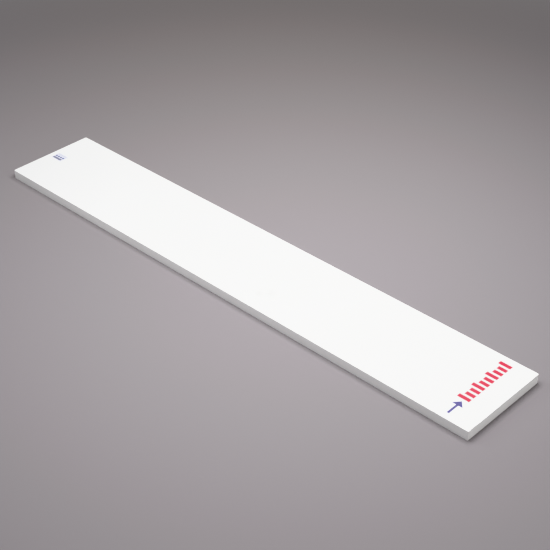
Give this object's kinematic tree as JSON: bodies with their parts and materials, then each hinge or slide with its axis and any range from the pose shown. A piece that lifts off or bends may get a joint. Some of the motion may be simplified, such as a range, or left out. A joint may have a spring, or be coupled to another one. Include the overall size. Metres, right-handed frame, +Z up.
{
  "type": "take-off board",
  "caption": "Flat white-coated laminated timber take-off board for long and triple jump, with threaded inserts in the underside.",
  "frame": {"origin": "centre of the underside, on the plane that the board rests on", "axes": "+X along the board towards its marked end, +Y across the board in the direction of the run-up, +Z up out of the running face"},
  "size_m": [1.22, 0.2, 0.0203],
  "materials": {
    "white_coating": "satin sprayed elastomer",
    "core_timber": "planed",
    "insert_steel": "zinc plated",
    "violet_film": "satin vinyl film",
    "red_film": "satin vinyl film",
    "label_film": "satin label film",
    "label_ink": "printed ink"
  },
  "bodies": {
    "root": {"white_shell": "white_coating", "core_stave_1": "core_timber", "core_stave_2": "core_timber", "core_stave_3": "core_timber", "core_stave_4": "core_timber", "core_stave_5": "core_timber", "threaded_insert_1": "insert_steel", "threaded_insert_2": "insert_steel", "threaded_insert_3": "insert_steel", "threaded_insert_4": "insert_steel", "threaded_insert_5": "insert_steel", "threaded_insert_6": "insert_steel", "threaded_insert_7": "insert_steel", "threaded_insert_8": "insert_steel", "direction_arrow": "violet_film", "tick_marks": "red_film", "inspection_label": "label_film", "label_print": "label_ink"}
  },
  "joints": []
}
